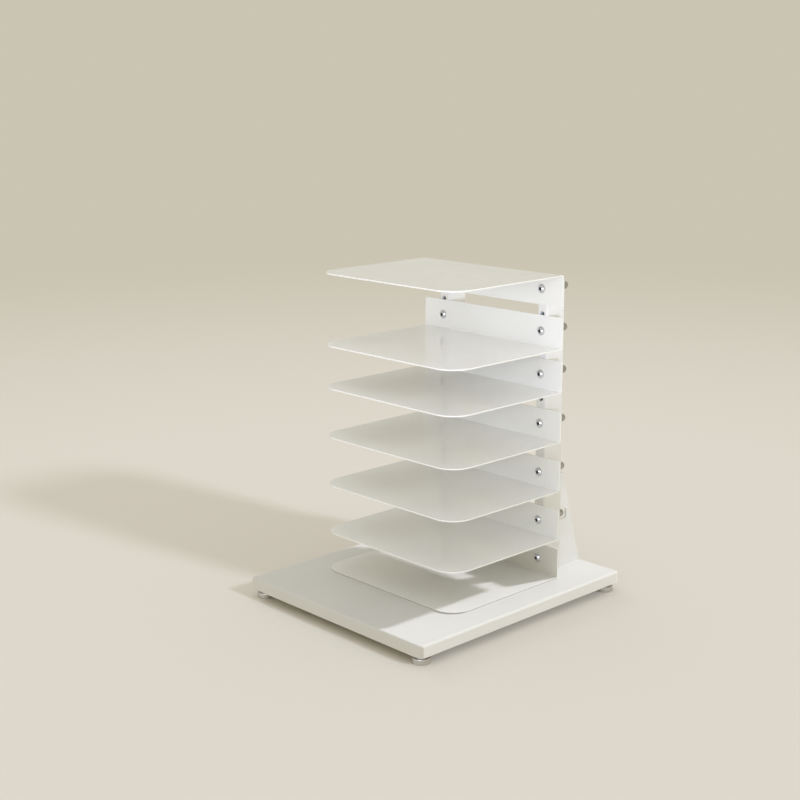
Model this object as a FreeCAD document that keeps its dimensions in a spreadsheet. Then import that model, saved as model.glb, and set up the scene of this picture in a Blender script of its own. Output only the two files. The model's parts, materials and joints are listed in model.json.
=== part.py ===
"""Board game tower: bent-sheet shelves bolted to two tube uprights on a base with levelling feet.

Millimetres. +Z is up, the front faces -Y, and the origin is on the floor under the middle of the base.
"""

import FreeCAD
import Part
import Sketcher

import math
import os
import re

# Driving dimensions, one named value for each size that can be set by itself.
SIZES = {
    # Base board
    "base_width": 380.0,
    "base_depth": 430.0,
    "base_thickness": 18.0,
    "base_corner_radius": 6.0,
    "base_edge_radius": 3.0,
    # Levelling feet and the inserts that they screw into
    "foot_edge_margin": 2.5,
    "foot_disc_diameter": 27.0,
    "foot_disc_height": 9.0,
    "foot_disc_bevel": 1.6,
    "foot_disc_floor": 3.0,
    "foot_collar_width": 13.0,
    "foot_collar_height": 2.2,
    "foot_stud_diameter": 8.0,
    "foot_stud_point": 1.0,
    "foot_gap": 0.3,
    "insert_wall": 1.7,
    "insert_lip": 3.0,
    "insert_lip_height": 1.5,
    "insert_end_room": 1.0,
    "insert_cover": 3.0,
    "running_clearance": 0.3,
    "seat_clearance": 0.1,
    # Shelves, bent from one sheet
    "shelf_width": 290.0,
    "shelf_depth": 230.0,
    "sheet_thickness": 2.0,
    "bend_radius": 2.0,
    "shelf_corner_radius": 34.0,
    "flange_height": 48.0,
    "flange_corner_radius": 2.0,
    # Room from a flange's tip to the next tray or, under the top shelf, to the next flange
    "lowest_flange_room": 14.0,
    "middle_flange_room": 29.0,
    "upper_flange_room": 18.0,
    "top_flange_room": 16.0,
    # Uprights, rectangular tube, with their end plugs and gussets
    "upright_spacing": 208.0,
    "upright_width": 20.0,
    "upright_depth": 40.0,
    "upright_wall": 2.0,
    "upright_inner_radius": 1.0,
    "plug_head": 2.0,
    "plug_depth": 3.0,
    "plug_wall": 2.0,
    "plug_bolt_room": 1.0,
    "gusset_thickness": 3.0,
    "gusset_reach": 50.0,
    "gusset_height": 154.0,
    "gusset_nose": 7.0,
    "gusset_toe": 3.0,
    "gusset_nut_room": 2.0,
    "notch_corner_radius": 5.0,
    # Bolts, the dome nuts behind the uprights and the weld nuts inside them
    "bolt_diameter": 8.0,
    "bolt_in_nut": 8.0,
    "bolt_head_diameter": 14.0,
    "bolt_crown": 3.6,
    "bolt_rim": 0.8,
    "socket_width": 5.0,
    "socket_depth": 2.6,
    "hole_clearance": 0.5,
    "nut_width": 13.0,
    "nut_hex_height": 6.5,
    "nut_shoulder": 0.25,
    "nut_bore_room": 3.0,
    "nut_crown": 4.0,
    "weld_nut_height": 6.5,
    "weld_nut_tip": 1.5,
    # Countersunk screws through the bottom shelf
    "screw_diameter": 4.5,
    "screw_head_rim": 2.0,
    "screw_point": 3.0,
    "screw_cover": 5.0,
    "screw_side_inset": 37.0,
    "screw_front_inset": 36.0,
    "screw_back_inset": 27.0,
}

SHELF_NAMES = ["bottom_shelf", "shelf_2", "shelf_3", "shelf_4", "shelf_5", "shelf_6", "top_shelf"]
SHELF_STEPS = ["lowest_step", "shelf_pitch", "shelf_pitch", "shelf_pitch", "upper_step", "top_step"]
BOTTOM_LEVEL = 1
TOP_LEVEL = len(SHELF_NAMES)
UPPER_LEVELS = range(BOTTOM_LEVEL + 1, TOP_LEVEL + 1)

# Places and sizes that are worked out from the driving dimensions.
PLACES = {
    "base_bottom": "foot_disc_height + foot_collar_height + foot_gap + insert_lip_height",
    "base_top": "base_bottom + base_thickness",
    "foot_inset": "foot_disc_diameter / 2 + foot_edge_margin",
    "foot_x": "base_width / 2 - foot_inset",
    "foot_y": "base_depth / 2 - foot_inset",
    "insert_bore": "foot_stud_diameter + 2 * running_clearance",
    "insert_diameter": "insert_bore + 2 * insert_wall",
    "insert_length": "base_thickness - insert_cover - insert_end_room",
    "lowest_step": "flange_height + lowest_flange_room",
    "shelf_pitch": "flange_height + middle_flange_room",
    "upper_step": "flange_height + upper_flange_room",
    "top_step": "2 * flange_height + top_flange_room - sheet_thickness",
    "bolt_rise": "flange_height / 2",
    "level_1": "base_top",
    f"bolt_level_{TOP_LEVEL}": f"level_{TOP_LEVEL} + sheet_thickness - bolt_rise",
    "spare_level_low": "bolt_level_5 - shelf_pitch / 2",
    "spare_level_high": f"bolt_level_{TOP_LEVEL} - shelf_pitch / 2",
    "upright_x": "upright_spacing / 2",
    "upright_face": "base_depth / 2 - base_edge_radius - gusset_reach - upright_depth",
    "upright_back": "upright_face + upright_depth",
    "upright_middle": "upright_face + upright_depth / 2",
    "upright_outer_radius": "upright_inner_radius + upright_wall",
    "tube_top": f"bolt_level_{TOP_LEVEL} + bolt_diameter / 2 + plug_bolt_room + plug_depth",
    "gusset_x": "upright_x + upright_width / 2 - upright_outer_radius - gusset_thickness / 2",
    "notch_depth": "nut_height + gusset_nut_room",
    "notch_low": "bolt_level_2 - base_top - nut_width / 2 - gusset_nut_room",
    "notch_high": "bolt_level_2 - base_top + nut_width / 2 + gusset_nut_room",
    "flange_face": "upright_face - sheet_thickness",
    "bolt_hole": "bolt_diameter + hole_clearance",
    "bolt_head_height": "bolt_crown + bolt_rim",
    "bolt_length": "sheet_thickness + upright_depth + bolt_in_nut",
    "bottom_bolt_length": "sheet_thickness + upright_wall + weld_nut_height + weld_nut_tip",
    "nut_bore_depth": "bolt_in_nut + nut_bore_room",
    "nut_height": "nut_bore_depth + nut_crown",
    "nut_dome_radius": "nut_width / 2 - nut_shoulder",
    "screw_depth": "base_thickness - screw_cover",
    "screw_head_diameter": "screw_diameter + 2 * screw_head_rim",
    "screw_x": "shelf_width / 2 - screw_side_inset",
    "screw_front_y": "upright_face - shelf_depth + screw_front_inset",
    "screw_back_y": "flange_face - screw_back_inset",
}
for level, step in zip(UPPER_LEVELS, SHELF_STEPS):
    PLACES[f"level_{level}"] = f"level_{level - 1} + {step}"
for level in range(BOTTOM_LEVEL, TOP_LEVEL):
    PLACES[f"bolt_level_{level}"] = f"level_{level} + bolt_rise"

SIDES = {"left": -1, "right": 1}
ENDS = {"front": -1, "back": 1}
SCREW_ROWS = ["screw_front_y", "screw_back_y"]
FULL_TURN = 360
HEX_SIDES = 6
HEX_STEP = FULL_TURN / HEX_SIDES
NEAR = 1e-4

# How a sketch numbers the points of a line, an arc or a circle, and its own origin.
START, END, CENTRE = range(1, 4)
ORIGIN = (-START, START)

doc = FreeCAD.newDocument("board_game_tower")
sheet = doc.addObject("Spreadsheet::Sheet", "Sizes")


def fill_sheet():
    for row, (alias, number) in enumerate(SIZES.items(), start=1):
        sheet.set(f"A{row}", alias)
        sheet.set(f"B{row}", str(number))
        sheet.setAlias(f"B{row}", alias)
    doc.recompute()


def expression(text):
    """The text with each place spelled out and each size named as a cell of the sheet."""

    def spell(match):
        word = match.group(0)
        if word in PLACES:
            return "(" + expression(PLACES[word]) + ")"
        if word in SIZES:
            return "Sizes." + word
        return word

    return re.sub(r"[a-z][a-z0-9_]*", spell, str(text))


def value(text):
    return float(sheet.evalExpression(expression(text)))


def bind(thing, **properties):
    """Ties properties to the sheet. A double underscore in a name stands for a point."""
    for name, text in properties.items():
        thing.setExpression(name.replace("__", "."), expression(text))


def place(thing, x="0", y="0", z="0"):
    bind(thing, Placement__Base__x=x, Placement__Base__y=y, Placement__Base__z=z)


def new_body(label, x="0", y="0", z="0"):
    body = doc.addObject("PartDesign::Body", label)
    body.Label = label
    place(body, x, y, z)
    return body


def new_sketch(body, plane, lift="0"):
    """A sketch on one of the body's own planes, moved along that plane's normal."""
    sketch = body.newObject("Sketcher::SketchObject", "sketch")
    support = next(f for f in body.Origin.OriginFeatures if f.Role == plane + "_Plane")
    sketch.AttachmentSupport = [(support, "")]
    sketch.MapMode = "FlatFace"
    bind(sketch, AttachmentOffset__Base__z=lift)
    return sketch


def fix(sketch, kind, label, text, *elements):
    """One dimension of a sketch, named and bound to the sheet."""
    index = sketch.addConstraint(Sketcher.Constraint(kind, *elements, value(text)))
    sketch.renameConstraint(index, label)
    sketch.setExpression("Constraints." + label, expression(text))


def fix_point(sketch, label, x, y, *point):
    """The place of a point of the sketch, measured from its origin."""
    fix(sketch, "DistanceX", "x" + label, x, *ORIGIN, *point)
    fix(sketch, "DistanceY", "y" + label, y, *ORIGIN, *point)


def arc_through(start, end, radius):
    """The shorter arc of a signed radius: a positive one turns left on its way from start to end."""
    chord = end - start
    middle = (start + end) / 2
    across = FreeCAD.Vector(-chord.y, chord.x, 0).normalize()
    rise = math.sqrt(max(radius**2 - (chord.Length / 2) ** 2, 0.0))
    bulge = middle - across * math.copysign(abs(radius) - rise, radius)
    return Part.Arc(start, bulge, end)


def draw_outline(sketch, corners):
    """A closed outline. A corner is (x, y), or (x, y, radius) where an arc leads to it."""
    points = [FreeCAD.Vector(value(corner[0]), value(corner[1]), 0) for corner in corners]
    first = sketch.GeometryCount
    runs = []
    for i, corner in enumerate(corners):
        turns_right = False
        if len(corner) == 3:
            radius = value(corner[2])
            turns_right = radius < 0
            edge = arc_through(points[i - 1], points[i], radius)
        else:
            edge = Part.LineSegment(points[i - 1], points[i])
        index = sketch.addGeometry(edge)
        # A sketch keeps every arc anticlockwise, so an arc that turns right is stored end to start.
        runs.append((index, END, START) if turns_right else (index, START, END))
    for (index, _, last), (following, begin, _) in zip(runs, runs[1:] + runs[:1]):
        sketch.addConstraint(Sketcher.Constraint("Coincident", index, last, following, begin))
    for i, corner in enumerate(corners):
        index, _, last = runs[i]
        fix_point(sketch, f"{first}_{i}", corner[0], corner[1], index, last)
        if len(corner) == 3:
            fix(sketch, "Radius", f"radius{first}_{i}", f"abs({corner[2]})", index)


def draw_rectangle(sketch, width, height):
    """A rectangle about the sketch's origin."""
    x = f"({width}) / 2"
    y = f"({height}) / 2"
    draw_outline(sketch, [(x, y), (f"-{x}", y), (f"-{x}", f"-{y}"), (x, f"-{y}")])


def draw_hexagon(sketch, width):
    """A hexagon about the sketch's origin, its width measured across flats along x."""
    half_step = HEX_STEP / 2
    reach = f"({width}) / (2 * cos({half_step} deg))"
    turns = [half_step + HEX_STEP * k for k in range(HEX_SIDES)]
    draw_outline(sketch, [(f"{reach} * cos({turn} deg)", f"{reach} * sin({turn} deg)") for turn in turns])


def draw_circle(sketch, x, y, diameter):
    centre = FreeCAD.Vector(value(x), value(y), 0)
    upward = FreeCAD.Vector(0, 0, 1)
    index = sketch.addGeometry(Part.Circle(centre, upward, value(diameter) / 2))
    fix_point(sketch, f"_circle_{index}", x, y, index, CENTRE)
    fix(sketch, "Diameter", f"diameter_{index}", diameter, index)


def pad(body, sketch, length, both_ways=False, backward=False):
    feature = body.newObject("PartDesign::Pad", "pad")
    feature.Profile = sketch
    feature.SideType = "Symmetric" if both_ways else "One side"
    feature.Reversed = backward
    bind(feature, Length=length)
    doc.recompute()


def cut(body, sketch, length=None, backward=False):
    """A pocket of a given depth, or right through both ways; it has to take something away."""
    before = body.Shape.Volume
    feature = body.newObject("PartDesign::Pocket", "pocket")
    feature.Profile = sketch
    feature.Reversed = backward
    if length is None:
        feature.Type = "ThroughAll"
        feature.SideType = "Symmetric"
    else:
        bind(feature, Length=length)
    doc.recompute()
    if body.Shape.Volume > before - NEAR:
        raise RuntimeError(f"{body.Label}: {feature.Name} cuts nothing")


def revolve(body, sketch, axis):
    feature = body.newObject("PartDesign::Revolution", "revolve")
    feature.Profile = sketch
    feature.ReferenceAxis = (sketch, [axis])
    feature.Angle = FULL_TURN
    doc.recompute()


def soften(body, radius, wanted, kind="Fillet"):
    """Rounds, or bevels, the edges of the body for which wanted(edge) is true."""
    tip = body.Tip
    names = [f"Edge{i}" for i, edge in enumerate(tip.Shape.Edges, start=1) if wanted(edge)]
    if not names:
        raise RuntimeError(f"{body.Label}: no edge to soften")
    feature = body.newObject("PartDesign::" + kind, "soften")
    feature.Base = (tip, names)
    bind(feature, **{"Radius" if kind == "Fillet" else "Size": radius})
    doc.recompute()


def runs_along(edge, axis):
    """True for a straight edge along one of the axes x, y and z."""
    if edge.Curve.TypeId != "Part::GeomLine":
        return False
    return abs(abs(getattr(edge.Curve.Direction, axis)) - 1) < NEAR


def lies_at(edge, axis=None, **coordinates):
    """True for an edge whose middle has those coordinates and which runs along the axis, if one is given."""
    if axis and not runs_along(edge, axis):
        return False
    middle = edge.CenterOfMass
    return all(abs(getattr(middle, name) - value(text)) < NEAR for name, text in coordinates.items())


def stands_out(edge, x):
    """True for an upright edge at that distance from the body's middle, on either side."""
    return runs_along(edge, "z") and abs(abs(edge.CenterOfMass.x) - value(x)) < NEAR


def make_group(label, original, places):
    """Copies of one piece as separate solids of one node, each placed from the sheet."""
    links = []
    for x, y, z in places:
        link = doc.addObject("App::Link", label + "_copy")
        link.LinkedObject = original
        place(link, x, y, z)
        links.append(link)
    group = doc.addObject("Part::Compound", label)
    group.Label = label
    group.Links = links
    doc.recompute()
    return group


def foot_places():
    return [(f"{side} * foot_x", f"{end} * foot_y") for end in ENDS.values() for side in SIDES.values()]


def screw_places():
    return [(f"{side} * screw_x", row) for row in SCREW_ROWS for side in SIDES.values()]


def bolt_places(y, levels):
    places = []
    for level in levels:
        places += [(f"{side} * upright_x", y, f"bolt_level_{level}") for side in SIDES.values()]
    return places


def make_base():
    """The board, with blind holes for the foot inserts below and for the screws above."""
    body = new_body("base_board", z="base_bottom")
    outline = new_sketch(body, "XY")
    draw_rectangle(outline, "base_width", "base_depth")
    pad(body, outline, "base_thickness")
    soften(body, "base_corner_radius", lambda edge: runs_along(edge, "z"))
    soften(body, "base_edge_radius", lambda edge: lies_at(edge, z="base_thickness"))
    insert_holes = new_sketch(body, "XY")
    for x, y in foot_places():
        draw_circle(insert_holes, x, y, "insert_diameter + 2 * seat_clearance")
    cut(body, insert_holes, "insert_length + insert_end_room", backward=True)
    screw_holes = new_sketch(body, "XY", lift="base_thickness")
    for x, y in screw_places():
        draw_circle(screw_holes, x, y, "screw_diameter + 2 * seat_clearance")
    cut(body, screw_holes, "screw_depth + seat_clearance")
    return body


def make_inserts():
    """Threaded inserts: a sleeve in the board, with a lip that bears on its underside."""
    body = new_body("insert_original")
    lip = new_sketch(body, "XY")
    draw_circle(lip, "0", "0", "insert_diameter + 2 * insert_lip")
    pad(body, lip, "insert_lip_height")
    sleeve = new_sketch(body, "XY")
    draw_circle(sleeve, "0", "0", "insert_diameter")
    pad(body, sleeve, "insert_lip_height + insert_length")
    bore = new_sketch(body, "XY")
    draw_circle(bore, "0", "0", "insert_bore")
    cut(body, bore)
    places = [(x, y, "base_bottom - insert_lip_height") for x, y in foot_places()]
    return make_group("foot_inserts", body, places)


def make_foot_disc(label, x, y):
    """The round disc that stands on the floor, with a socket for the end of its stud."""
    body = new_body(label, x, y)
    disc = new_sketch(body, "XY")
    draw_circle(disc, "0", "0", "foot_disc_diameter")
    pad(body, disc, "foot_disc_height")
    soften(body, "foot_disc_bevel", lambda edge: lies_at(edge, z="foot_disc_height"), "Chamfer")
    socket = new_sketch(body, "XY", lift="foot_disc_floor")
    draw_circle(socket, "0", "0", "foot_stud_diameter + 2 * seat_clearance")
    cut(body, socket, "foot_disc_height", backward=True)
    return body


def make_foot_stud(label, x, y):
    """The threaded stud with its hex collar, which sits on the disc."""
    body = new_body(label, x, y)
    stud_top = "base_bottom + insert_length"
    stud = new_sketch(body, "XY", lift="foot_disc_floor")
    draw_circle(stud, "0", "0", "foot_stud_diameter")
    pad(body, stud, f"{stud_top} - foot_disc_floor")
    soften(body, "foot_stud_point", lambda edge: lies_at(edge, z=stud_top), "Chamfer")
    collar = new_sketch(body, "XY", lift="foot_disc_height")
    draw_hexagon(collar, "foot_collar_width")
    pad(body, collar, "foot_collar_height")
    return body


def make_shelf(label, level):
    """A tray and its flange in one bent sheet. The top shelf's flange points down, the others' up."""
    body = new_body(label, y="upright_face", z=f"level_{level}")
    points_down = level == TOP_LEVEL
    outer = "sheet_thickness" if points_down else "0"
    inner = "0" if points_down else "sheet_thickness"
    tip = "sheet_thickness - flange_height" if points_down else "flange_height"
    section = new_sketch(body, "YZ")
    draw_outline(
        section,
        [
            ("-shelf_depth", outer),
            ("0", outer),
            ("0", tip),
            ("-sheet_thickness", tip),
            ("-sheet_thickness", inner),
            ("-shelf_depth", inner),
        ],
    )
    pad(body, section, "shelf_width", both_ways=True)
    soften(body, "bend_radius", lambda edge: lies_at(edge, "x", y="-sheet_thickness", z=inner))
    soften(body, "bend_radius + sheet_thickness", lambda edge: lies_at(edge, "x", y="0", z=outer))
    soften(body, "shelf_corner_radius", lambda edge: lies_at(edge, "z", y="-shelf_depth"))
    soften(body, "flange_corner_radius", lambda edge: lies_at(edge, "y", z=tip))
    holes = new_sketch(body, "XZ")
    for side in SIDES.values():
        draw_circle(holes, f"{side} * upright_x", f"bolt_level_{level} - level_{level}", "bolt_hole")
    cut(body, holes)
    return body


def countersink(body):
    """Conical seats for the four screws, in the tray of the bottom shelf."""
    for x, y in screw_places():
        cone = body.newObject("PartDesign::SubtractiveCone", "countersink")
        bind(
            cone,
            Radius1="screw_diameter / 2 + seat_clearance",
            Radius2="screw_head_diameter / 2 + seat_clearance",
            Height="sheet_thickness",
        )
        place(cone, x, f"{y} - upright_face")
    doc.recompute()


def make_screws():
    """Countersunk screws, flush with the tray and pointed in the board."""
    body = new_body("screw_original")
    profile = new_sketch(body, "XZ")
    draw_outline(
        profile,
        [
            ("0", "sheet_thickness"),
            ("0", "-screw_depth"),
            ("screw_diameter / 2", "screw_point - screw_depth"),
            ("screw_diameter / 2", "0"),
            ("screw_head_diameter / 2", "sheet_thickness"),
        ],
    )
    revolve(body, profile, "V_Axis")
    return make_group("base_screws", body, [(x, y, "base_top") for x, y in screw_places()])


def make_upright(label, side):
    """A rectangular tube that stands on the base. The bottom bolt's hole is in its front wall alone."""
    body = new_body(label, f"{side} * upright_x", "upright_middle", "base_top")
    section = new_sketch(body, "XY")
    draw_rectangle(section, "upright_width", "upright_depth")
    draw_rectangle(section, "upright_width - 2 * upright_wall", "upright_depth - 2 * upright_wall")
    pad(body, section, "tube_top - base_top")
    soften(body, "upright_outer_radius", lambda edge: stands_out(edge, "upright_width / 2"))
    soften(body, "upright_inner_radius", lambda edge: stands_out(edge, "upright_width / 2 - upright_wall"))
    holes = new_sketch(body, "XZ")
    levels = [f"bolt_level_{level}" for level in UPPER_LEVELS] + ["spare_level_low", "spare_level_high"]
    for level in levels:
        draw_circle(holes, "0", f"{level} - base_top", "bolt_hole")
    cut(body, holes)
    bottom_hole = new_sketch(body, "XZ", lift="upright_depth / 2")
    draw_circle(bottom_hole, "0", f"bolt_level_{BOTTOM_LEVEL} - base_top", "bolt_hole")
    cut(body, bottom_hole, "upright_wall")
    return body


def make_plug(label, side):
    """A plastic plug: a head over the tube's end and a hollow skirt inside the tube."""
    body = new_body(label, f"{side} * upright_x", "upright_middle", "tube_top")
    head = new_sketch(body, "XY")
    draw_rectangle(head, "upright_width", "upright_depth")
    pad(body, head, "plug_head")
    soften(body, "upright_outer_radius", lambda edge: runs_along(edge, "z"))
    inset = "upright_wall + seat_clearance"
    skirt = new_sketch(body, "XY")
    draw_rectangle(skirt, f"upright_width - 2 * ({inset})", f"upright_depth - 2 * ({inset})")
    pad(body, skirt, "plug_depth", backward=True)
    soften(body, "upright_inner_radius", lambda edge: stands_out(edge, f"upright_width / 2 - ({inset})"))
    hollow_inset = f"{inset} + plug_wall"
    hollow = new_sketch(body, "XY")
    draw_rectangle(hollow, f"upright_width - 2 * ({hollow_inset})", f"upright_depth - 2 * ({hollow_inset})")
    cut(body, hollow, "plug_depth")
    return body


def make_gusset(label, side):
    """A tall triangular plate behind an upright, near its outer side, with a notch around the lowest nut."""
    body = new_body(label, f"{side} * gusset_x", "upright_back", "base_top")
    outline = new_sketch(body, "YZ")
    draw_outline(
        outline,
        [
            ("0", "0"),
            ("gusset_reach", "0"),
            ("gusset_reach", "gusset_toe"),
            ("gusset_nose", "gusset_height"),
            ("0", "gusset_height"),
            ("0", "notch_high"),
            ("notch_depth - notch_corner_radius", "notch_high"),
            ("notch_depth", "notch_high - notch_corner_radius", "-notch_corner_radius"),
            ("notch_depth", "notch_low + notch_corner_radius"),
            ("notch_depth - notch_corner_radius", "notch_low", "-notch_corner_radius"),
            ("0", "notch_low"),
        ],
    )
    pad(body, outline, "gusset_thickness", both_ways=True)
    return body


def make_bolts(label, length, levels):
    """Button-head bolts: a low crown with a hex socket, and a plain shank."""
    body = new_body(label + "_original")
    profile = new_sketch(body, "YZ")
    crown_radius = "(bolt_head_diameter^2 / 4 + bolt_crown^2) / (2 * bolt_crown)"
    draw_outline(
        profile,
        [
            ("-bolt_head_height", "0"),
            ("-bolt_rim", "bolt_head_diameter / 2", f"-({crown_radius})"),
            ("0", "bolt_head_diameter / 2"),
            ("0", "bolt_diameter / 2"),
            (length, "bolt_diameter / 2"),
            (length, "0"),
        ],
    )
    revolve(body, profile, "H_Axis")
    socket = new_sketch(body, "XZ", lift="bolt_head_height")
    draw_hexagon(socket, "socket_width")
    cut(body, socket, "socket_depth")
    return make_group(label, body, bolt_places("flange_face", levels))


def make_dome_nuts():
    """Dome nuts: a hexagon against the tube and a dome over the bolt's end."""
    body = new_body("dome_nut_original")
    hexagon = new_sketch(body, "XZ")
    draw_hexagon(hexagon, "nut_width")
    pad(body, hexagon, "nut_hex_height", backward=True)
    dome = new_sketch(body, "YZ")
    draw_outline(
        dome,
        [
            ("0", "0"),
            ("0", "nut_dome_radius"),
            ("nut_height - nut_dome_radius", "nut_dome_radius"),
            ("nut_height", "0", "-nut_dome_radius"),
        ],
    )
    revolve(body, dome, "H_Axis")
    bore = new_sketch(body, "XZ")
    draw_circle(bore, "0", "0", "bolt_diameter + 2 * seat_clearance")
    cut(body, bore, "nut_bore_depth")
    return make_group("dome_nuts", body, bolt_places("upright_back", UPPER_LEVELS))


def make_weld_nuts():
    """Hexagon nuts inside the uprights, welded to the front wall for the bottom bolts."""
    body = new_body("weld_nut_original")
    hexagon = new_sketch(body, "XZ")
    draw_hexagon(hexagon, "nut_width")
    pad(body, hexagon, "weld_nut_height", backward=True)
    bore = new_sketch(body, "XZ")
    draw_circle(bore, "0", "0", "bolt_diameter + 2 * seat_clearance")
    cut(body, bore)
    return make_group("weld_nuts", body, bolt_places("upright_face + upright_wall", [BOTTOM_LEVEL]))


def make_tower():
    nodes = [make_base(), make_inserts()]
    foot_names = [f"{end}_{side}" for end in ENDS for side in SIDES]
    for name, (x, y) in zip(foot_names, foot_places()):
        nodes.append(make_foot_disc("foot_disc_" + name, x, y))
        nodes.append(make_foot_stud("foot_stud_" + name, x, y))
    shelves = [make_shelf(name, level) for level, name in enumerate(SHELF_NAMES, start=BOTTOM_LEVEL)]
    countersink(shelves[0])
    nodes += shelves
    for name, side in SIDES.items():
        nodes.append(make_upright("upright_" + name, side))
        nodes.append(make_plug("upright_plug_" + name, side))
        nodes.append(make_gusset("gusset_" + name, side))
    nodes.append(make_bolts("shelf_bolts", "bolt_length", UPPER_LEVELS))
    nodes.append(make_bolts("bottom_bolts", "bottom_bolt_length", [BOTTOM_LEVEL]))
    nodes += [make_dome_nuts(), make_weld_nuts(), make_screws()]
    return nodes


def check(nodes):
    for thing in doc.Objects:
        if {"Invalid", "Error"} & set(thing.State):
            raise RuntimeError(f"{thing.Label} failed: {thing.State}")
    for node in nodes:
        if node.Shape.isNull() or not node.Shape.isValid():
            raise RuntimeError(f"{node.Label} has no valid shape")


def write(nodes):
    os.makedirs("parts", exist_ok=True)
    for node in nodes:
        node.Shape.exportStep(os.path.join("parts", node.Label + ".step"))
        print(f"{node.Label}: {len(node.Shape.Solids)} solids, {node.Shape.Volume:.0f} mm3")


fill_sheet()
tower = make_tower()
doc.recompute()
check(tower)
write(tower)
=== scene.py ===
import json
import math

import bmesh
import bpy
from bmesh.types import BMEdge, BMFace, BMVert
from bpy.props import FloatProperty, FloatVectorProperty, PointerProperty
from mathutils import Matrix, Vector

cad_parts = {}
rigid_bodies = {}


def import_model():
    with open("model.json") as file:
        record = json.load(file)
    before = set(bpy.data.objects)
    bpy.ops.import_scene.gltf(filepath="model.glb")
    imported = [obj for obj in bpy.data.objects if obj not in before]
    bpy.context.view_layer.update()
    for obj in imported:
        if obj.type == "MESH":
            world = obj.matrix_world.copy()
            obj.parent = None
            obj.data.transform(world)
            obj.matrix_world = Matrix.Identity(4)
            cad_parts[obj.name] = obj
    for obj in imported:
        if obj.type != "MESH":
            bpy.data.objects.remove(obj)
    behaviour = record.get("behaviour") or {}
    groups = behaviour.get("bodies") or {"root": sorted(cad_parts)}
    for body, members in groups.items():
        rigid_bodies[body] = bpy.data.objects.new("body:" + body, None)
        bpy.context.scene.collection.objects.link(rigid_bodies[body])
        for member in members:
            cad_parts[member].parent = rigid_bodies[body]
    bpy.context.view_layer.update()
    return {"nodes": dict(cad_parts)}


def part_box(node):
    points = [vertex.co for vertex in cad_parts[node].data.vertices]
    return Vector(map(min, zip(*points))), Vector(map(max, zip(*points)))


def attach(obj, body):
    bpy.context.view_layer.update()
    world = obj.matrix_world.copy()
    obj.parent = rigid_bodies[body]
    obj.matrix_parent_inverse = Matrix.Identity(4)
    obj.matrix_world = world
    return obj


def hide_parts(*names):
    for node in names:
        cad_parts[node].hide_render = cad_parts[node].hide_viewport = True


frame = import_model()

bl_info = {
    "name": "Board game tower",
    "version": (1, 0, 0),
    "blender": (4, 5, 0),
    "location": "3D View > Sidebar > Tower",
    "description": "Dresses a tower of bent steel shelves on a levelled base and sets its stage",
    "category": "Mesh",
}

TOWER = "tower"
SHELVES = ["bottom_shelf", "shelf_2", "shelf_3", "shelf_4", "shelf_5", "shelf_6", "top_shelf"]
BOTTOM_SHELF, *BOLTED_SHELVES = SHELVES
TOP_SHELF = SHELVES[-1]
SIDES = ["left", "right"]
FEET = ["front_left", "front_right", "back_left", "back_right"]
FOOT_DISCS = [f"turned_foot_disc_{foot}" for foot in FEET]
HEX_SIDES = 6
TURN_STEPS = 48
THREAD_STEPS = 24
INNER_FINISH = 1
Y_AXIS, Z_AXIS = 1, 2
NEAR = 1e-5
MERGE = 1e-7
THREAD_MERGE = 1e-6
HEX_PAST = 0.0001  # how far a hexagon's turned stock stands past its corners
HEX_FACE = 0.0002  # how far the end face of a hexagon stands in
DOME_STEP = 0.00025  # how far a dome stands in from its nut's flats
SCREW_RIM = 0.0001  # chamfer round a base screw's head
SOCKET_MOUTH = 0.64  # radius of a socket's mouth over the socket's width
SOCKET_LEAD = 25  # width of a socket over the depth of its lead
SOCKET_END = 6  # width of a socket over the depth of its drilled end
THREAD_RISE, THREAD_CREST, THREAD_FALL = 0.25, 0.56, 0.69  # bends of a thread's profile, in pitches
PATTERN_LOW, PATTERN_HIGH = 0.3, 0.7  # middle range of a pattern
FLOOR_ROUGHNESS = 0.9
FLOOR_SPECULAR = 0.1
FAR_CLIP = 100.0
SHARP_ANGLE = math.radians(38)
EDGE_ANGLE = math.radians(60)


def length(name, description, default):
    """A size in metres."""
    return FloatProperty(name=name, description=description, default=default, min=0.0, precision=5,
                         unit="LENGTH")


def level(name, description, default):
    """A plain number, such as a strength or a share."""
    return FloatProperty(name=name, description=description, default=default, min=0.0)


def turn(name, description, degrees):
    """An angle, given here in degrees."""
    return FloatProperty(name=name, description=description, default=math.radians(degrees),
                         subtype="ANGLE")


def colour(name, description, red, green, blue):
    """A colour as linear light."""
    return FloatVectorProperty(name=name, description=description, default=(red, green, blue, 1.0),
                               size=4, min=0.0, max=1.0, subtype="COLOR")


def position(name, description, *default):
    """A point in metres."""
    return FloatVectorProperty(name=name, description=description, default=default, subtype="XYZ",
                               unit="LENGTH")


def far_lamp(name, turned, rise, spread, strength, tint):
    """The settings of a far lamp, whose angles are in degrees."""
    title, lamp = name.capitalize(), f"the {name} lamp"
    return {
        f"{name}_turn": turn(f"{title} turn", f"Direction of {lamp}, from the right side to the back",
                             turned),
        f"{name}_rise": turn(f"{title} rise", f"Height of {lamp} above the level", rise),
        f"{name}_spread": turn(f"{title} spread", f"Angle that {lamp} fills", spread),
        f"{name}_strength": level(f"{title} strength", f"Strength of {lamp}", strength),
        f"{name}_tint": colour(f"{title} tint", f"Colour of {lamp}", *tint),
    }


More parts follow.
